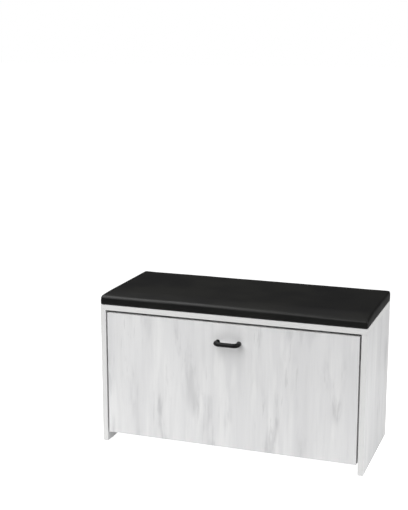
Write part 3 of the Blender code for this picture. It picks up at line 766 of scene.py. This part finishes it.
# Name, place, target, size in metres and power in watts
LIGHTS = (
    ("key", (-1.0, -1.7, 2.4), (0, 0, 0.3), 3.0, 81),
    ("fill", (2.8, -0.4, 1.8), (0, 0, 0.2), 2.6, 60),
    ("top", (-1.1, 0.0, 2.1), (-0.1, 0, 0.4), 1.4, 24),
)


def make_stage():
    mesh = bpy.data.meshes.new("floor")
    bm = bmesh.new()
    bmesh.ops.create_grid(bm, x_segments=1, y_segments=1, size=30)
    bm.to_mesh(mesh)
    bm.free()
    floor = bpy.data.objects.new("floor", mesh)
    bpy.context.scene.collection.objects.link(floor)
    mesh.materials.append(floor_paper())
    make_sky()
    for light in LIGHTS:
        soft_light(*light)


def floor_paper():
    """White to the eye, a soft glow to the bench, dark under it, and clear from below."""
    paper = Shader("white_floor", Roughness=1.0, Specular_IOR_Level=0.0)
    parts = paper.add("ShaderNodeSeparateXYZ", {0: paper.place})
    under = paper.fit(paper.maths("ABSOLUTE", parts.outputs["X"]), *UNDER_SIDES, 1.0, 0.0)
    under = paper.maths("MULTIPLY", under, paper.fit(parts.outputs["Y"], *UNDER_FRONT))
    under = paper.maths("MULTIPLY", under, paper.fit(parts.outputs["Y"], *UNDER_BACK, 1.0, 0.0))
    near = paper.fit(parts.outputs["Y"], *NEAR_FRONT)
    near = paper.maths("MULTIPLY", near, paper.fit(parts.outputs["Y"], *NEAR_BEHIND, 1.0, 0.0))
    glow = paper.fit(near, 0.0, 1.0, FLOOR_FAR, FLOOR_GLOW)
    glow = paper.maths("MAXIMUM", glow, paper.add("ShaderNodeLightPath").outputs["Is Camera Ray"])
    paper.set("Base Color", paper.mix(near, FLOOR_GREY_FAR, FLOOR_GREY))
    paper.set("Emission Color", (1.0, 1.0, 1.0))
    paper.set("Emission Strength", paper.maths("MULTIPLY", glow, paper.fit(under, 0.0, 1.0, 1.0, 0.0)))
    below = paper.add("ShaderNodeNewGeometry").outputs["Backfacing"]
    sheet = paper.add("ShaderNodeMixShader", {0: below, 1: paper.surface.outputs[0],
                                              2: paper.add("ShaderNodeBsdfTransparent").outputs[0]})
    paper.tree.links.new(sheet.outputs[0], paper.tree.nodes["Material Output"].inputs["Surface"])
    return paper.material


def make_sky():
    """A backdrop that is white to the eye, but whose light comes from above, with little from low down."""
    world = bpy.data.worlds.new("studio")
    bpy.context.scene.world = world
    world.use_nodes = True
    tree = world.node_tree
    parts = tree.nodes.new("ShaderNodeSeparateXYZ")
    tree.links.new(tree.nodes.new("ShaderNodeTexCoord").outputs["Generated"], parts.inputs[0])

    def ramp(axis, low, high):
        node = tree.nodes.new("ShaderNodeMapRange")
        node.interpolation_type = "SMOOTHSTEP"
        tree.links.new(parts.outputs[axis], node.inputs["Value"])
        node.inputs["From Min"].default_value = low
        node.inputs["From Max"].default_value = high
        return node.outputs[0]

    def mix(share, a, b):
        node = tree.nodes.new("ShaderNodeMix")
        tree.links.new(share, node.inputs[0])
        for socket, value in ((node.inputs[2], a), (node.inputs[3], b)):
            if isinstance(value, bpy.types.NodeSocket):
                tree.links.new(value, socket)
            else:
                socket.default_value = value
        return node.outputs[0]

    front = mix(ramp("Z", *FRONT_RISE), SKY_FRONT, SKY_TOP)
    behind = mix(ramp("Z", *BEHIND_RISE), SKY_BEHIND, SKY_TOP)
    sky = mix(ramp("Y", *FRONT_TO_BEHIND), front, behind)
    seen = tree.nodes.new("ShaderNodeLightPath").outputs["Is Camera Ray"]
    level = mix(seen, sky, 1.0)
    background = tree.nodes["Background"]
    background.inputs["Color"].default_value = (1, 1, 1, 1)
    tree.links.new(level, background.inputs["Strength"])


def soft_light(name, place, target, size, power):
    light = bpy.data.lights.new(name, "AREA")
    light.shape = "SQUARE"
    light.size = size
    light.energy = power
    obj = bpy.data.objects.new(name, light)
    obj.location = place
    obj.rotation_euler = (Vector(target) - Vector(place)).to_track_quat("-Z", "Y").to_euler()
    bpy.context.scene.collection.objects.link(obj)


def make_camera():
    data = bpy.data.cameras.new("camera")
    data.lens = CAMERA_LENS
    data.sensor_width = 36
    camera = bpy.data.objects.new("camera", data)
    camera.location = CAMERA_PLACE
    camera.rotation_euler = Euler((math.radians(90 - CAMERA_PITCH), 0, math.radians(CAMERA_YAW)))
    bpy.context.scene.collection.objects.link(camera)
    bpy.context.scene.camera = camera


def main():
    bpy.context.scene.view_settings.view_transform = "Standard"
    make_camera()
    make_stage()
    materials = make_materials()
    dress_nodes(materials)
    soften_nodes()
    make_cushion(materials)
    make_handle(materials)


main()
